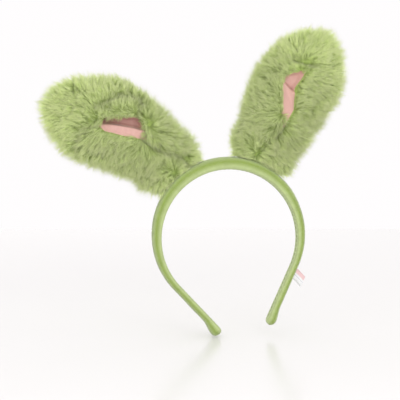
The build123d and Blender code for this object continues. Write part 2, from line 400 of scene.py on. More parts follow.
def end_rounding(half, distance, radius):
    """One along the band, and nothing at its ends, as a circle of the radius ends."""
    inwards = np.clip((half - np.abs(distance)) / radius, 0, 1)
    return np.sqrt(1 - (1 - inwards) ** 2)


def band_rings(columns):
    """The sleeve: a D of two half superellipses carried round the path.

    The half towards the head is squarer. Both halves shrink to a point at each end as a
    circle does, over half the band's width. Its marks are the distance from the top, how far
    a point faces the head, and how far it is on one of the two broad faces, towards and away
    from the head, which are painted paler as sheen."""
    band = settings().band
    half = arc_reach() + band.arm_length
    end = band.tip_width / 2
    body = np.linspace(-half + end, half - end, 380)
    nose = end * (1 - np.cos(np.linspace(0.08, pi / 2, 12)[:-1]))
    distance = np.concatenate([-half + nose, body, (half - nose)[::-1]])
    point, out = band_place(distance)
    level = (point[:, 2] - point[:, 2].min()) / np.ptp(point[:, 2])
    half_width = (band.tip_width + (band.crown_width - band.tip_width) * level) / 2
    half_width = half_width * band.fullness
    c, s = np.cos(around(columns)), np.sin(around(columns))
    outer_power, inner_power = 2 / 2.9, 2 / 4.5
    power = np.where(s >= 0, outer_power, inner_power)
    across = np.sign(c) * np.abs(c) ** power
    above = np.sign(s) * np.abs(s) ** power
    rise = np.where(above >= 0, WAIST + (1 - WAIST) * above, WAIST + WAIST * above)
    rise = WAIST + (rise[None] - WAIST) * end_rounding(half, distance, 0.85 * end)[:, None]
    y = half_width[:, None] * end_rounding(half, distance, end)[:, None] * across[None]
    height = rise * band_thickness(distance)[:, None]
    rings = point[:, None] + out[:, None] * height[..., None] + TO_BACK * y[..., None]
    swell = wavy(rings, (0.031, 0.019, 0.047, 0.012), seed=5) * SWELL
    inner = smooth(-above, -0.40, 0.30)[None, :]
    rings = rings + surface_normals(rings) * (swell * (1 - inner))[..., None]
    # paler on the two broad faces, which are seen edge-on at the arms' rims: painted sheen
    paleness_with_painted_light = np.maximum(inner, 0.95 * smooth(above, 0.40, 0.95)[None, :])
    marks = np.stack(np.broadcast_arrays(distance[:, None], inner, paleness_with_painted_light), -1)
    return rings, marks


# ------------ the ears' form

LIP_SWELL = 1.7         # how far the backing swells beside the mouth, in millimetres
TUCK = 2.6              # how far the satin runs on under the lips, in millimetres
CREASE_DEPTH, CREASE_WIDTH = 5.2, 2.6
PLEATS, PLEAT_HEIGHT = 9, 1.9
SEAM_HALF = 0.0005      # half the width of the seam on the band, in metres
WEDGE_RUN = 0.62        # how far out a wedge goes while it climbs by its rise


def rising(share, start, end, fullness):
    """From start to end as a sine levels off, its shape set by a power."""
    return start + (end - start) * np.sin(pi / 2 * np.clip(share, 0, 1)) ** fullness


def falling(share):
    """From one to nothing, rounded like an ear's end."""
    return (1 - np.clip(share, 0, 1) ** 2.2) ** 0.6


def half_size(along, start, most, peak, fullness):
    """Half of the backing's breadth or depth: most at the peak, and nothing at its tip."""
    ear = settings().ears
    rise = rising(along / peak, start, most, fullness)
    fall = falling((along - peak) / (ear.ear_length - ear.skin_inset - peak))
    return np.where(along < peak, rise, most * fall)


def half_breadth(along):
    ear = settings().ears
    start = ear.seam_width / 2 - 0.35 * ear.skin_inset
    return half_size(along, start, ear.ear_width / 2 - ear.skin_inset, ear.widest, 0.7)


def half_depth(along):
    ear = settings().ears
    return half_size(along, 0.0012, ear.ear_depth / 2 - ear.skin_inset, ear.deepest, 0.8)


def seat():
    """Middle of an ear's seam on the right side, as (x, z)."""
    drop, radius = outer_circle()
    angle = radians(settings().ears.seat_angle)
    return radius * sin(angle), drop + radius * cos(angle)


def ear_frames(ear, along):
    """Middle line of an ear, an arc that starts square to the band: points, across, up."""
    sizes = settings().ears
    start, bend, side = radians(sizes.seat_angle), radians(ear["bend"]), ear["side"]
    radius = sizes.ear_length / bend
    angle = start + bend * along / sizes.ear_length
    x0, z0 = seat()
    middle = np.stack([side * (x0 + radius * (cos(start) - np.cos(angle))),
                       np.zeros_like(angle), z0 + radius * (np.sin(angle) - sin(start))], -1)
    up, across = directions(angle, side)
    return middle, across, up


def to_edges(places, start, edge):
    """Distance of places (..., 2) from the nearest of some edges, by where each starts."""
    offset = places[..., None, :] - start
    share = np.clip((offset * edge).sum(-1) / (edge**2).sum(-1), 0, 1)
    return np.linalg.norm(offset - edge * share[..., None], axis=-1).min(-1)


def to_outline(places, outline):
    """Signed distance of places (..., 2) from a closed outline, less than nothing inside it."""
    following = np.roll(outline, -1, 0)
    edge = following - outline
    near = to_edges(places, outline, edge)
    x, y = places[..., 0, None], places[..., 1, None]
    crosses = (outline[:, 1] > y) != (following[:, 1] > y)
    drop = np.where(edge[:, 1] == 0, 1e-9, edge[:, 1])
    left = x < outline[:, 0] + (y - outline[:, 1]) / drop * edge[:, 0]
    inside = (crosses & left).sum(-1) % 2 == 1
    return np.where(inside, -near, near)


def to_line(places, line):
    """Distance of places (..., 2) from an open line of points."""
    a = np.array(line, float)
    return to_edges(places, a[:-1], np.diff(a, axis=0))


def lining_depth(ear, places):
    """Depth of the satin under the lips, in millimetres, with its fold across the mouth.

    Near the outline it comes up to the lips, and beyond the outline it is tucked under them."""
    past = (places - ear["fold_from"]) @ unit(ear["fold_towards"])
    step = smooth(past, -ear["fold_width"], ear["fold_width"])
    ripple = 0.5 * np.sin(places[..., 0] * 0.55 + places[..., 1] * 0.35)
    groove = 2.4 * bell(past, 0.9)
    depth = ear["shallow"] + (ear["deep"] - ear["shallow"]) * step + ripple + groove
    beside = to_outline(places, ear["mouth"])
    wall = smooth(beside, -3.5, 0.3)
    lower_rim = 1.2
    rim = lower_rim + (ear["upper_rim"] - lower_rim) * step
    tuck = 3.3 * smooth(beside, 0.3, TUCK)
    return depth * (1 - wall) + rim * wall + tuck


def ear_rings(ear):
    """The fur's backing: ovals along the middle line, then moved front to back by its features.

    The mouth is pressed in by its signed distance, its lips swell outside it, each crease is a
    Gaussian valley, and pleats fan out from the pucker as a sine of the angle round it. Last,
    the base is pushed out of the band on to a wedge that stands on the seam."""
    sizes = settings().ears
    rows, turn = 230, around(190)
    end = sizes.ear_length - sizes.skin_inset
    share = np.linspace(0, 1, rows)
    sunk, span = 0.0025, end + 0.0024
    along = -sunk + span * (1 - np.cos(pi * (0.04 + 0.96 * share))) / 2
    breadth, depth = half_breadth(np.maximum(along, 0)), half_depth(np.maximum(along, 0))
    along = along * (1 - ear["shorter"] * MM / end)
    swell = [sum(size * bell(along / MM - centre, spread)
                 for centre, side, size, spread in ear["swells"] if side == way) * MM
             for way in (-1, 1)]
    swell = np.where(np.cos(turn)[None] < 0, swell[0][:, None], swell[1][:, None])
    v = (breadth[:, None] + swell) * np.cos(turn)[None]
    y = depth[:, None] * np.sin(turn)[None]
    facing = np.broadcast_to(np.sin(turn)[None], y.shape)
    front = smooth(-facing, 0.02, 0.35)
    places = np.stack(np.broadcast_arrays(along[:, None], v), -1) / MM
    mouth = to_outline(places, ear["mouth"])
    dent = (ear["deep"] + 3.5) * smooth(-mouth, -0.5, 2.0)
    lips = LIP_SWELL * bell(mouth - 6.0, 4.0) * (mouth > -1)
    valley = sum(bell(to_line(places, line), CREASE_WIDTH) for line in ear["creases"])
    pucker = places - ear["pucker"]
    reach = np.linalg.norm(pucker, axis=-1)
    fan = np.sin(PLEATS * np.arctan2(pucker[..., 1], pucker[..., 0] + 4))
    pleats = PLEAT_HEIGHT * fan * smooth(reach, 2, 9) * (1 - smooth(reach, 16, 34))
    lumps = wavy(np.stack([places[..., 0], places[..., 1], facing * 12], -1),
                 (31, 47, 23, 19), ear["seed"])
    y = y + MM * front * (dent - lips + CREASE_DEPTH * np.minimum(valley, 1.2))
    y = y + MM * facing * (lumps + pleats * smooth(reach, 1, 6))
    middle, across, up = ear_frames(ear, along)
    rings = middle[:, None] + across[:, None] * v[..., None]
    rings = rings + TO_BACK * y[..., None]
    rings = stand_on_band(rings, rise=0.30)
    return {"rings": rings, "places": places, "facing": facing, "mouth": mouth,
            "front": front, "up": up, "across": across, "valley": front * valley}


def stand_on_band(points, rise):
    """Points too low are moved out from the band's middle on to a wedge over its seam.

    To the front and back of the seam the wedge climbs by rise in every WEDGE_RUN."""
    drop, radius = outer_circle()
    line = radius + settings().ears.seam_gap
    x, y, z = points[..., 0], points[..., 1], points[..., 2] - drop
    reach = np.hypot(x, z)
    lowest = line + np.maximum(np.abs(y) - SEAM_HALF, 0) * rise / WEDGE_RUN
    scale = np.maximum(reach, lowest) / reach
    return np.stack([x * scale, y, z * scale + drop], -1)


# ------------ fibres

# wavelengths in metres by which neighbouring locks turn together, and by which they part
DRIFT_WAVES, RUFFLE_WAVES = (0.023, 0.014, 0.035), (0.0085, 0.0065, 0.011)
BRUSH_WAVES = (0.017, 0.009, 0.026)
LIP_REACH, PUCKER_REACH, HANG_REACH = 5, 22.0, 6    # how far each acts, in millimetres
BLOCK = 4096                                        # fibres compared with all locks at once


def fibres(name, root, middle, tip, width, marks, rings_at=(0.0, 0.5)):
    """Closed three-sided spikes: each follows a quadratic curve from root to tip by middle.

    A point at share t is (1-t)^2 root + 2t(1-t) middle + t^2 tip, and three corners stand
    round it at a distance that shrinks with t. marks holds two numbers for each fibre, which
    follow the share t in its points' marks. Spikes of one ring are flat shaded."""
    lean = unit(tip - root)
    side = unit(np.cross(lean, np.roll(lean, 1, -1) + 0.31))
    spread = spokes(side, np.cross(lean, side), 3)
    rows = []
    for t in rings_at:
        centre = (1 - t) ** 2 * root + 2 * t * (1 - t) * middle + t * t * tip
        radius = (width * (1 - 0.4 * t))[:, None, None] / 2
        rows.append(centre[:, None] + radius * spread)
    points = np.concatenate(rows + [tip[:, None]], 1)
    count, each = points.shape[:2]
    top = each - 4
    faces = [[0, 2, 1]]
    for a in range(top):
        b = a + 1 if a % 3 < 2 else a - 2
        faces += [[a, b, b + 3], [a, b + 3, a + 3]]
    faces += [[top + c, top + (c + 1) % 3, each - 1] for c in range(3)]
    share = np.append(np.repeat(rings_at, 3), 1.0)[None]
    marks = np.stack(np.broadcast_arrays(share, marks[:, :1], marks[:, 1:]), -1)
    return triangle_mesh(name, points.reshape(-1, 3), repeated(faces, count, each),
                         marks.reshape(-1, 3), rounded=len(rings_at) > 1)


def nearest(points, centres):
    """For each point, the index of the nearest centre, worked out in blocks."""
    squares = (centres**2).sum(-1)
    blocks = np.split(points, range(BLOCK, len(points), BLOCK))
    return np.concatenate([(squares - 2 * block @ centres.T).argmin(1) for block in blocks])


def pile_lean(ear, spot, front, near_pucker):
    """Which way the fur is combed at places on the backing, as (towards the tip, outwards).

    On the front it leans away from the mouth's middle line and from the pucker, and over the
    mouth's inner side it hangs into it where the ear says so."""
    outline = ear["mouth"]
    centre = outline.mean(0)
    axis = outline[outline[:, 0].argmax()] - outline[outline[:, 0].argmin()]
    t = np.clip((spot - centre) @ axis / (axis @ axis), -0.35, 0.35)
    away = unit(spot - centre - t[:, None] * axis)
    from_pucker = unit(spot - ear["pucker"])
    outwards = np.sign(spot[:, 1:]) * smooth(np.abs(spot[:, 1:]), 8, 32)
    tipwards = np.array([1.0, 0.0]) * (0.85 - 0.60 * front)
    lean = front * (away + 1.6 * near_pucker * from_pucker) + tipwards
    lean = lean + outwards * np.array([0.0, 0.4])
    hang = ear["lip_hang"] * front[:, 0] * bell(to_outline(spot, outline), HANG_REACH)
    hang = hang * (spot[:, 1] < centre[1] - 2)
    return unit(lean + hang[:, None] * np.array([-0.2, 2.2]))


def ear_fibres(ear, form):
    """Roots, bends and tips of an ear's fur, before it is split into pieces.

    The pile leans as it is combed, over its backing's normal. Fibres close to a lock's middle
    share its lean, and their tips draw together. Fibres that would lie over the mouth are cut
    short at its outline."""
    sizes = settings().ears
    rng = np.random.default_rng(ear["seed"])
    rings, mouth = form["rings"], form["mouth"]
    on_front = form["front"] > 0.3
    weight = np.where(on_front & (mouth < 4), np.where(mouth < -0.2, 0.0, 1.5), 1.0)
    place = scatter(rng, rings, sizes.tuft_count, weight)
    root, spot, facing = (at(grid, place) for grid in (rings, form["places"], form["facing"]))
    normal = unit(at(surface_normals(rings), place))
    front = smooth(-facing, 0.0, 0.3)[:, None]
    up, across = (form[k][place[0]] for k in ("up", "across"))
    near_pucker = bell(np.linalg.norm(spot - ear["pucker"], axis=-1), PUCKER_REACH)[:, None]
    lean = pile_lean(ear, spot, front, near_pucker)

    count = len(root)
    chosen = rng.choice(count, sizes.clump_count, replace=False)
    lock = nearest(root, root[chosen])
    stand, combed, turned = 0.50 + 0.15 * near_pucker, 0.80, 0.55
    lock_stray, stray = 0.17, 0.14
    lock_lean = rng.normal(size=(sizes.clump_count, 3)) * lock_stray
    lock_height = rng.uniform(0.80, 1.12, sizes.clump_count)
    lock_mark = rng.random(sizes.clump_count)
    drift = np.stack([0.8 * wavy(root, DRIFT_WAVES, ear["seed"] + k)
                      + ear["ruffle"] * wavy(root, RUFFLE_WAVES, ear["seed"] + 5 + k)
                      for k in range(3)], -1)
    in_plane = lean[:, :1] * up + lean[:, 1:] * across
    direction = unit(stand * normal + combed * in_plane + turned * drift + lock_lean[lock]
                     + rng.normal(size=(count, 3)) * stray)
    height = sizes.pile_length * lock_height[lock] * rng.uniform(0.80, 1.10, count)
    lip = bell(to_outline(spot, ear["mouth"]), LIP_REACH) * front[:, 0]
    base = 1 - smooth(spot[:, 0], 2, 16)
    valley = np.minimum(at(form["valley"], place), 1)
    lip_cut, base_cut, valley_cut = 0.25, 0.22, 0.5
    height = height * (1 - lip_cut * lip) * (1 - base_cut * base) * (1 - valley_cut * valley)

    # cut short what would lie over the mouth
    reach = direction * height[:, None] / MM
    ahead = spot + np.stack([(reach * up).sum(-1), (reach * across).sum(-1)], -1)
    clear, least = 0.4, 0.2
    over = np.maximum(clear - to_outline(ahead, ear["mouth"]), 0) * (front[:, 0] > 0.5)
    height = height * np.clip(1 - over / np.linalg.norm(ahead - spot, axis=-1), least, 1)
    tip = root + direction * height[:, None]

    # draw each lock's tips together
    hold = ear["locks"] + 0.2 * near_pucker[:, 0]
    draw = np.where(over > 0, 0.0, rng.uniform(0.05, 1.0, count) * hold)[:, None]
    tip = tip + (tip[chosen][lock] - tip) * draw
    sag = np.array([0.0, 0.0, 0.05]) * height[:, None]
    tip = stand_on_band(tip - sag, rise=0.0)
    middle = root + (normal * 0.75 + direction * 0.25) * height[:, None] * 0.45
    # how pale each fibre is: a random tone by its lock, paler towards the ear's end (partly painted
    # light) and near the seam, and darker in creases as painted shade
    paleness_with_painted_light = 0.45 + 0.35 * (lock_mark[lock] - 0.5) + 0.3 * smooth(spot[:, 0], 60, 125)
    paleness_with_painted_light = paleness_with_painted_light + 0.25 * base - 0.8 * valley
    marks = np.stack([rng.random(count), np.clip(paleness_with_painted_light, 0, 1)], -1)
    width = (rng.uniform(0.11, 0.20, count) + 0.14 * (rng.random(count) < 0.3)) * MM
    return root, middle, tip, width, marks, spot, facing


# ------------ materials

class Nodes:
    """A node tree under construction: adds nodes, sets their sockets and joins them."""

    def __init__(self, tree):
        self.tree = tree

    def node(self, kind, sockets=None, **properties):
        made = self.tree.nodes.new(kind)
        for key, value in properties.items():
            setattr(made, key, value)
        for key, value in (sockets or {}).items():
            self.put(made.inputs[key], value)
        return made

    def put(self, socket, value):
        if isinstance(value, bpy.types.NodeSocket):
            self.tree.links.new(value, socket)
        else:
            socket.default_value = value

    def math(self, operation, *values):
        made = self.node("ShaderNodeMath", dict(enumerate(values)), operation=operation)
        return made.outputs[0]

    def place(self):
        return self.node("ShaderNodeTexCoord").outputs["Object"]


class Shader(Nodes):
    """A principled material under construction."""

    def __init__(self, name):
        self.material = bpy.data.materials.new(name)
        self.material.use_nodes = True
        super().__init__(self.material.node_tree)

    def set(self, **values):
        surface = self.tree.nodes["Principled BSDF"]
        for key, value in values.items():
            self.put(surface.inputs[key.replace("_", " ")], value)

    def mix(self, share, a, b):
        made = self.node("ShaderNodeMix", {"Factor": share, 6: a, 7: b}, data_type="RGBA")
        return made.outputs[2]

    def mottled(self, share, rgb, darkest):
        """The colour, and where share is nothing, a darker share of it."""
        return self.mix(share, tint(rgb, darkest), tint(rgb))

    def shaded(self, shade, first, second):
        """The colour with its brightness multiplied by both values."""
        value = self.math("MULTIPLY", first, second)
        made = self.node("ShaderNodeHueSaturation", {"Color": shade, "Value": value})
        return made.outputs[0]

    def ramp(self, share, stops):
        made = self.node("ShaderNodeValToRGB", {"Fac": share})
        elements = made.color_ramp.elements
        while len(elements) < len(stops):
            elements.new(0.5)
        for element, (place, shade) in zip(elements, stops):
            element.position = place
            element.color = shade
        return made.outputs["Color"]

    def marks(self):
        """The three numbers that triangle_mesh gave each point."""
        found = self.node("ShaderNodeAttribute", attribute_name="pile")
        return self.node("ShaderNodeSeparateXYZ", {0: found.outputs["Vector"]}).outputs

    def noise(self, scale, detail, roughness=0.5, stretch=None):
        place = self.place()
        if stretch:
            made = self.node("ShaderNodeMapping", {"Vector": place, "Scale": stretch})
            place = made.outputs[0]
        made = self.node("ShaderNodeTexNoise", {
            "Vector": place, "Scale": scale, "Detail": detail, "Roughness": roughness})
        return made.outputs[0]

    def wave(self, scale, distortion):
        made = self.node("ShaderNodeTexWave", {
            "Vector": self.place(), "Scale": scale, "Distortion": distortion})
        return made.outputs["Fac"]

    def bump(self, height, distance):
        made = self.node("ShaderNodeBump", {
            "Height": height, "Distance": distance, "Strength": 1.0})
        self.set(Normal=made.outputs[0])


def tint(rgb, share=1.0):
    return (*(share * part for part in rgb), 1.0)


def fur_material():
    """Long pile: dark at the root, pale at the tip, each lock and fibre a little different. The pale
    tips are partly the fur's own tone and partly a painted glow of light through the fibre ends.
    """
    hues = settings().colours
    shader = Shader("long_pile_fur")
    height, fibre, lock = shader.marks()
    shade = shader.ramp(height, [
        (0.0, tint(hues.fur_root)), (0.45, tint(hues.fur_middle)), (1.0, tint(hues.fur_tip))])
    # the third mark: a random tone by lock, with painted shade in creases and partly painted light
    # towards the ear's end
    shade = shader.shaded(shade, shader.math("MULTIPLY_ADD", fibre, 0.22, 0.89),
                          shader.math("MULTIPLY_ADD", lock, 0.55, 0.75))
    shader.set(Base_Color=shade, Roughness=0.72, Specular_IOR_Level=0.25,
               Sheen_Weight=0.25, Sheen_Roughness=0.45, Sheen_Tint=(0.9, 0.95, 0.7, 1))
    return shader.material


def backing_material():
    """Knitted backing under the pile, seen only between locks."""
    shader = Shader("fur_backing")
    mottle = shader.noise(900, 3)
    shader.set(Base_Color=shader.mottled(mottle, settings().colours.fur_root, 0.7),
               Roughness=0.9)
    shader.bump(mottle, 0.0004)
    return shader.material


def velour_material(name, tip_share=0.0):
    """Short velour with brushed patches, painted paler on its two broad faces as sheen."""
    hues = settings().colours
    shader = Shader(name)
    paleness_with_painted_light = shader.marks()[2]
    brushed, grain = shader.noise(210, 3, 0.6), shader.noise(2600, 2, 0.6)
    # paler on the two broad faces: painted sheen
    shade = shader.mix(paleness_with_painted_light, tint(hues.velour), tint(hues.velour_painted_sheen))
    # the nap's share of a paler colour is painted sheen for the rims, where the nap is seen side-on
    shade = shader.mix(tip_share, shade, tint([0.75 * part + 0.30 for part in hues.velour]))
    shade = shader.shaded(shade, shader.math("MULTIPLY_ADD", brushed, 0.34, 0.80),
                          shader.math("MULTIPLY_ADD", grain, 0.16, 0.92))
    shader.set(Base_Color=shade, Roughness=0.9, Specular_IOR_Level=0.05,
               Sheen_Weight=1.0 - 0.4 * tip_share, Sheen_Roughness=0.35,
               Sheen_Tint=(0.90, 0.96, 0.72, 1))
    shader.bump(grain, 0.0003)
    return shader.material


def satin_material():
    """Pink satin: soft gloss, fine crossing threads and faint crumples."""
    shader = Shader("pink_satin")
    crumple = shader.noise(150, 2)
    warp = shader.noise(1.0, 2, 0.6, (5200, 700, 5200))
    shader.set(Base_Color=shader.mottled(crumple, settings().colours.satin, 0.94),
               Roughness=0.42, Specular_IOR_Level=0.4, Sheen_Weight=0.25, Sheen_Roughness=0.3)
    shader.bump(shader.math("MULTIPLY_ADD", crumple, 3.0, warp), 0.00022)
    return shader.material


def tape_material():
    """White woven tape with one soft block and a thin line, and no lettering."""
    hues = settings().colours
    shader = Shader("woven_tape")
    white, block, line = tint(hues.tape), tint(hues.tape_stripe), (0.42, 0.43, 0.50, 1)
    shade = shader.ramp(shader.marks()[0], [
        (0.0, block), (0.33, block), (0.42, white), (0.55, white), (0.585, line),
        (0.62, white)])
    shader.set(Base_Color=shade, Roughness=0.45, Specular_IOR_Level=0.45,
               Sheen_Weight=0.3, Sheen_Roughness=0.3)
    shader.bump(shader.wave(1500.0, 0.6), 0.00006)
    return shader.material


def thread_material(name, rgb):
    """Twisted sewing thread: fine slanting ridges and a slight sheen."""
    shader = Shader(name)
    twist = shader.wave(900.0, 1.5)
    shader.set(Base_Color=shader.mottled(twist, rgb, 0.75), Roughness=0.6, Sheen_Weight=0.2)
    shader.bump(twist, 0.00008)
    return shader.material


def strip_material():
    """White plastic with a faint grain."""
    shader = Shader("white_strip")
    grain = shader.noise(700, 2)
    shader.set(Base_Color=shader.mottled(grain, (0.86, 0.86, 0.84), 0.9), Roughness=0.45)
    shader.bump(grain, 0.0001)
    return shader.material


def stage_material():
    """Pale table top, a little glossy."""
    shader = Shader("pale_table")
    shader.set(Base_Color=shader.mottled(shader.noise(1.2, 1), settings().colours.floor, 0.985),
               Roughness=0.22, Specular_IOR_Level=0.35)
    return shader.material


def dress(piece, material):
    piece.data.materials.clear()
    piece.data.materials.append(material)


# ------------ the operators

class HEADBAND_OT_sleeve(bpy.types.Operator):
    """Velour sleeve over the padding and strip, with its short nap"""
    bl_idname = "headband.sleeve"
    bl_label = "Band sleeve"

    def execute(self, context):
        rings, marks = band_rings(columns=72)
        half = abs(marks[0, 0, 0])
        point, out = band_place(np.array([-half, half]))
        start, end = point + out * (WAIST * settings().band.tip_thickness)
        sleeve = closed_tube("band_sleeve", rings, marks, start, end)
        dress(sleeve, velour_material("velour_ground"))
        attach(sleeve, "band")
        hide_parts("band_cover", "band_padding")
        self.nap(rings, marks)
        return {"FINISHED"}

    def nap(self, rings, marks):
        """Short leaning fibres all over the sleeve, thinner where it is pressed on the head."""
        sizes = settings().band
        rng = np.random.default_rng(seed=7)
        place = scatter(rng, rings, sizes.nap_count, weight=1.0 - 0.45 * marks[..., 1])
        root, normal = at(rings, place), unit(at(surface_normals(rings), place))
        # the sleeve's painted sheen mark is carried on to its nap
        inner, paleness_with_painted_light = at(marks[..., 1], place), at(marks[..., 2], place)
        brush = np.stack([wavy(root, BRUSH_WAVES, 40 + k) for k in range(3)], -1)
        brushed, stray = 0.35, 0.22
        lean = unit(normal + brushed * brush + rng.normal(size=root.shape) * stray)
        height = sizes.nap_length * rng.uniform(0.6, 1.1, len(root)) * (1 - 0.5 * inner)
        tip = root + lean * height[:, None]
        middle = root + normal * height[:, None] * 0.5
        width = rng.uniform(0.12, 0.20, len(root)) * MM
        # the nap is painted paler than the ground: painted sheen
        nap = velour_material("velour_nap", tip_share=0.8)
        left = root[:, 0] < 0
        for name, chosen in (("band_nap_left", left), ("band_nap_right", ~left)):
            piece = fibres(name, root[chosen], middle[chosen], tip[chosen], width[chosen],
                           np.stack([rng.random(chosen.sum()), paleness_with_painted_light[chosen]], -1),
                           rings_at=(0.0,))
            dress(piece, nap)
            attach(piece, "band")


class HEADBAND_OT_core(bpy.types.Operator):
    """Plastic strip inside the band"""
    bl_idname = "headband.core"
    bl_label = "Spring strip"

    def execute(self, context):
        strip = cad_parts["band_core"]
        strip.data.materials.clear()
        strip.data.materials.append(strip_material())
        return {"FINISHED"}


class HEADBAND_OT_ears(bpy.types.Operator):
    """Fur backing, pile and satin of both ears"""
    bl_idname = "headband.ears"
    bl_label = "Ears"

    def execute(self, context):
        fur, backing, satin = fur_material(), backing_material(), satin_material()
        for name, ear in EARS.items():
            form = ear_rings(ear)
            self.skin(name, ear, form, backing)
            self.pile(name, ear, form, fur)
            self.lining(name, ear, satin)
        return {"FINISHED"}

    def join_to_band(self, piece, name, ear):
        """Bakes the piece's placement into its points."""
        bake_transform(piece)

    def skin(self, name, ear, form, material):
        piece = closed_tube(f"{name}_ear_skin", form["rings"])
        dress(piece, material)
        self.join_to_band(piece, name, ear)
        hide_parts(*(f"{name}_ear_{part}" for part in ("front", "back", "filling")))

    def pile(self, name, ear, form, material):
        """The fur, its front and back split from seam to tip into pieces of like size."""
        root, middle, tip, width, marks, spot, facing = ear_fibres(ear, form)
        most_fibres = 19000
        for label, side in (("front", facing < 0), ("back", facing >= 0)):
            chosen = np.flatnonzero(side)
            chosen = chosen[spot[chosen, 0].argsort()]
            zones = np.array_split(chosen, -(-len(chosen) // most_fibres))
            for number, zone in enumerate(zones, 1):
                piece = fibres(f"{name}_ear_fur_{label}_{number}", root[zone], middle[zone],
                               tip[zone], width[zone], marks[zone])
                dress(piece, material)
                self.join_to_band(piece, name, ear)

    def lining(self, name, ear, material):
        """Satin behind the mouth: a fan of points from its middle out under the lips and back.

        Each ray from the middle of the outline runs to the outline and a little further. The
        depth at each place is that of the folded cloth, and the back layer lies behind it."""
        centre = ear["mouth"].mean(0)
        rows, turn = 30, around(96)
        ray = np.stack([np.cos(turn), np.sin(turn)], -1)
        steps = np.linspace(0.5, 40, 400)
        beyond = to_outline(centre + ray[:, None] * steps[None, :, None], ear["mouth"]) > TUCK
        reach = steps[beyond.argmax(1)]
        for _ in range(6):
            reach = np.maximum(reach, (np.roll(reach, 1) + np.roll(reach, -1)) / 2)
        share = np.linspace(1 / rows, 1, rows)
        places = centre + ray[None] * (reach[None] * share[:, None])[..., None]
        middle, across, _ = ear_frames(ear, places[..., 0] * MM)
        flat = middle + across * (places[..., 1:] * MM)
        y = -half_depth(places[..., 0] * MM) + lining_depth(ear, places) * MM
        thick = 0.5 * MM
        top, under = (flat + TO_BACK * level[..., None] for level in (y, y + thick))
        piece = closed_tube(f"{name}_ear_satin", np.concatenate([top, under[::-1]]))
        dress(piece, material)
        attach(piece, f"{name}_ear")
        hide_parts(f"{name}_ear_lining")


class HEADBAND_OT_stitches(bpy.types.Operator):
    """Sewing thread under the ears and along the inside of the band"""
    bl_idname = "headband.stitches"
    bl_label = "Stitches"

    def execute(self, context):
        hues = settings().colours
        sewing = thread_material("sewing_thread", hues.thread)
        for name, ear in EARS.items():
            self.whip(name, ear, sewing)
        self.ladder(thread_material("velour_thread", [0.8 * c for c in hues.velour]))
        self.loop(thread_material("loose_thread", hues.loose_thread))
        return {"FINISHED"}

    def sew(self, name, paths, radius, material, sides=6):
        """One piece of thread stitches, which stay on the band."""
        piece = wires(name, paths, radius, sides)
        dress(piece, material)
        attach(piece, "band")

    def whip(self, name, ear, material):
        """Slanting stitches over the seam: each an arch from band to ear, front and back."""
        sizes = settings().ears
        drop, radius = outer_circle()
        count, slant = 11, 0.012
        rise, sunk, low, narrowing, arch = 1.9, 0.5, 2.6, 1.6, 0.7      # millimetres
        span = sizes.seam_width / radius * 0.44
        share = np.linspace(0, 1, 9)
        middle = radians(sizes.seat_angle) + np.linspace(-span, span, count)
        angle = middle[:, None] + slant * share[None]
        reach = radius + rise * MM * np.sin(pi * share / 2)[None] - sunk * MM
        paths = []
        for face in (FRONT, BACK):
            across = face * (low - narrowing * share + arch * np.sin(pi * share)) * MM
            paths.append(np.stack([
                ear["side"] * reach * np.sin(angle), across[None] + 0 * angle,
                drop + reach * np.cos(angle)], -1))
        self.sew(f"{name}_ear_stitches", np.concatenate(paths), 0.22 * MM, material)

    def ladder(self, material):
        """Small stitches that close the sleeve along the middle of its inner face."""
        half = arc_reach() + settings().band.arm_length - 6 * MM
        count, stitch, sunk, zigzag = 92, 2.2 * MM, 0.18 * MM, 0.5 * MM
        start = np.linspace(-half, half - 2.5 * MM, count)
        share = np.linspace(0, 1, 7)
        point, out = band_place(start[:, None] + stitch * share[None])
        depth = 0.10 * MM * (1 - np.sin(pi * share))[None, :, None] - sunk
        side = zigzag * np.sign(np.arange(count) % 2 - 0.5)[:, None, None]
        paths = point + out * depth + TO_BACK * side * np.cos(pi * share)[None, :, None]
        self.sew("band_seam_stitches", paths, 0.16 * MM, material, sides=5)

    def loop(self, material):
        """A loose loop of thread at the front of the right ear's seam."""
        drop, radius = outer_circle()
        out, along = directions(radians(settings().ears.seat_angle - 1.5))
        share = np.linspace(0, 1, 25)
        breadth, hang, forward, curve, sunk = 5.2, 1.2, 4.7, 0.9, 0.4      # millimetres
        sweep = (share - 0.5) * breadth * MM
        sag = np.sin(pi * share) * hang * MM
        middle = np.array([0, 0, drop]) + out * (radius - sunk * MM)
        front = (forward - curve * np.abs(2 * share - 1) ** 2) * MM
        path = middle + along * sweep[:, None] - out * sag[:, None] - TO_BACK * front[:, None]
        self.sew("right_ear_thread_loop", path[None], 0.28 * MM, material)


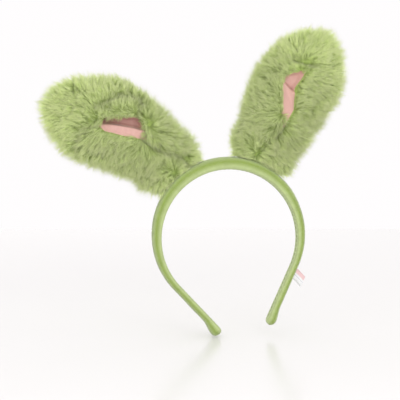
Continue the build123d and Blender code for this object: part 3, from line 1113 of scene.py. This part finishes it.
class HEADBAND_OT_label(bpy.types.Operator):
    """Blank folded satin label on the right arm"""
    bl_idname = "headband.label"
    bl_label = "Label"

    def execute(self, context):
        """A flat ribbon's section carried out from the arm, round a fold and back.

        Each of its two legs takes the share leg of its length. Both lean and sag along the
        arm, and curl to the back. The lengths are in metres."""
        low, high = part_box("label")
        middle = (np.array(low) + np.array(high)) / 2
        out, along = directions(radians(settings().band.arc_half_angle))
        reach, width, gap, thick = 0.0108, 0.0101, 0.00032, 0.00028
        lean, sag, curl, curl_turn, leg = 0.26, 0.0012, 0.0012, 2.6, 0.46
        share = np.linspace(0, 1, 61)
        distance = reach * np.clip(np.minimum(share, 1 - share) / leg, 0, 1)
        fold = np.clip((share - leg) / (1 - 2 * leg), 0, 1)
        distance = distance + gap * np.sin(pi * fold)
        side = gap * np.cos(pi * fold) + curl * np.sin(distance / reach * curl_turn)
        droop = lean * distance + sag * (distance / reach) ** 2
        sewn_in = 0.0008
        base = middle - out * reach / 2 - out * sewn_in
        centre = (base + out * distance[:, None] + TO_BACK * side[:, None]
                  + along * droop[:, None])
        face = unit(np.cross(unit(np.gradient(centre, axis=0)), along))
        corner = np.array([(-1, -1), (-0.5, -1), (0, -1), (0.5, -1), (1, -1),
                           (1, 1), (0.5, 1), (0, 1), (-0.5, 1), (-1, 1)])
        rings = (centre[:, None] + along * (corner[:, 0] * width / 2)[None, :, None]
                 + face[:, None] * (corner[:, 1] * thick / 2)[None, :, None])
        marks = np.stack(np.broadcast_arrays(
            (corner[:, 0] / 2 + 0.5)[None], share[:, None], 0 * share[:, None]), -1)
        piece = closed_tube("label_tape", rings, marks)
        dress(piece, tape_material())
        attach(piece, "band")
        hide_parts("label")
        return {"FINISHED"}


class HEADBAND_OT_stage(bpy.types.Operator):
    """Pale table, soft light and camera"""
    bl_idname = "headband.stage"
    bl_label = "Stage"

    def execute(self, context):
        scene = context.scene
        camera_up, camera_back = self.camera(scene)
        self.table(camera_up, camera_back)
        self.light(scene, camera_up, camera_back)
        scene.view_settings.view_transform = "Standard"
        return {"FINISHED"}

    def camera(self, scene):
        """Stands to the left and a little above, and leans as the object does on its stand."""
        azimuth, elevation, roll = radians(-9.56), radians(5.26), radians(-9.22)
        distance, lens, sensor = 1.100, 109.8, 36.0
        aim_right, aim_up = -0.0265, 0.0343
        back = Vector((sin(azimuth) * cos(elevation), -cos(azimuth) * cos(elevation),
                       sin(elevation)))
        right = Vector((cos(azimuth), sin(azimuth), 0))
        up = back.cross(right)
        leaning_right = right * cos(roll) + up * sin(roll)
        leaning_up = up * cos(roll) - right * sin(roll)
        place = back * distance
        aim = leaning_right * aim_right + leaning_up * aim_up
        view = (place - aim).normalized()
        across = leaning_up.cross(view).normalized()
        above = view.cross(across)
        data = bpy.data.cameras.new("camera")
        data.lens, data.sensor_width = lens, sensor
        data.clip_start, data.clip_end = 0.05, 50
        camera = link("camera", data)
        turn = Matrix((across, above, view)).transposed().to_4x4()
        camera.matrix_world = Matrix.Translation(place) @ turn
        scene.camera = camera
        return above, view

    def table(self, camera_up, camera_back):
        """A wide flat top that is level in the camera's view and touches the lower arm end."""
        tilt = radians(6.0)
        up = (camera_up * cos(tilt) + camera_back * sin(tilt)).normalized()
        rings = band_rings(columns=48)[0].reshape(-1, 3)
        pile_room = 0.0012
        lowest = (rings @ np.array(up)).min() - pile_room
        near = Vector((camera_back - up * camera_back.dot(up))).normalized()
        side = up.cross(near)
        centre = up * lowest
        half, far, close = 3.0, 0.75, 1.6
        corners = [centre + side * a * half + near * b
                   for a, b in ((-1, -far), (1, -far), (1, close), (-1, close))]
        mesh = bpy.data.meshes.new("table")
        mesh.from_pydata([tuple(c) for c in corners], [], [(0, 1, 2, 3)])
        mesh.materials.append(stage_material())
        link("table", mesh)

    def light(self, scene, camera_up, camera_back):
        """A pale world that the camera and gloss see as white, and three large soft lamps."""
        world = bpy.data.worlds.new("studio")
        scene.world = world
        world.use_nodes = True
        nodes = Nodes(world.node_tree)
        ray = nodes.node("ShaderNodeLightPath").outputs
        seen = nodes.math("MAXIMUM", ray["Is Camera Ray"], ray["Is Glossy Ray"])
        white, soft = (
            nodes.node("ShaderNodeBackground", {"Color": shade, "Strength": strength}).outputs[0]
            for shade, strength in (((1.0, 0.985, 0.99, 1), 1.0), ((1.0, 0.99, 0.98, 1), 0.96)))
        mix = nodes.node("ShaderNodeMixShader", {0: seen, 1: soft, 2: white})
        nodes.put(world.node_tree.nodes["World Output"].inputs[0], mix.outputs[0])
        across = camera_up.cross(camera_back)
        lamps = (   # name, place, width in metres, power in watts
            ("key", camera_up * 0.40 + camera_back * 1.40 + across * 0.45, 1.0, 7.5),
            ("fill", camera_up * 0.1 + camera_back * 1.35 - across * 0.8, 1.2, 4.2),
            ("behind", camera_up * 0.4 - camera_back * 1.4 - across * 0.3, 1.2, 4.0),
        )
        for name, place, size, power in lamps:
            data = bpy.data.lights.new(name, "AREA")
            data.size, data.energy = size, power
            lamp = link(name, data)
            lamp.location = place
            lamp.visible_glossy = name != "behind"
            lamp.rotation_euler = place.to_track_quat("Z", "Y").to_euler()


class HEADBAND_PT_panel(bpy.types.Panel):
    """Lists the pieces in the order in which they are made"""
    bl_idname = "HEADBAND_PT_panel"
    bl_label = "Plush ears headband"
    bl_space_type = "VIEW_3D"
    bl_region_type = "UI"
    bl_category = "Headband"

    def draw(self, context):
        for group in (settings().band, settings().ears, settings().colours):
            box = self.layout.box()
            for name in group.__annotations__:
                box.prop(group, name)
        for step in STEPS:
            self.layout.operator(step.bl_idname)


STEPS = (HEADBAND_OT_stage, HEADBAND_OT_core, HEADBAND_OT_sleeve, HEADBAND_OT_ears,
         HEADBAND_OT_stitches, HEADBAND_OT_label)
CLASSES = (BandSizes, EarSizes, HeadbandColours, HeadbandSettings, *STEPS, HEADBAND_PT_panel)


def register():
    for cls in CLASSES:
        bpy.utils.register_class(cls)
    bpy.types.Scene.plush_headband = PointerProperty(type=HeadbandSettings)


def unregister():
    del bpy.types.Scene.plush_headband
    for cls in reversed(CLASSES):
        bpy.utils.unregister_class(cls)


def main():
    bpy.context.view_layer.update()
    register()
    bpy.ops.headband.stage()
    bpy.ops.headband.core()
    bpy.ops.headband.sleeve()
    bpy.ops.headband.ears()
    bpy.ops.headband.stitches()
    bpy.ops.headband.label()


if __name__ == "__main__":
    main()
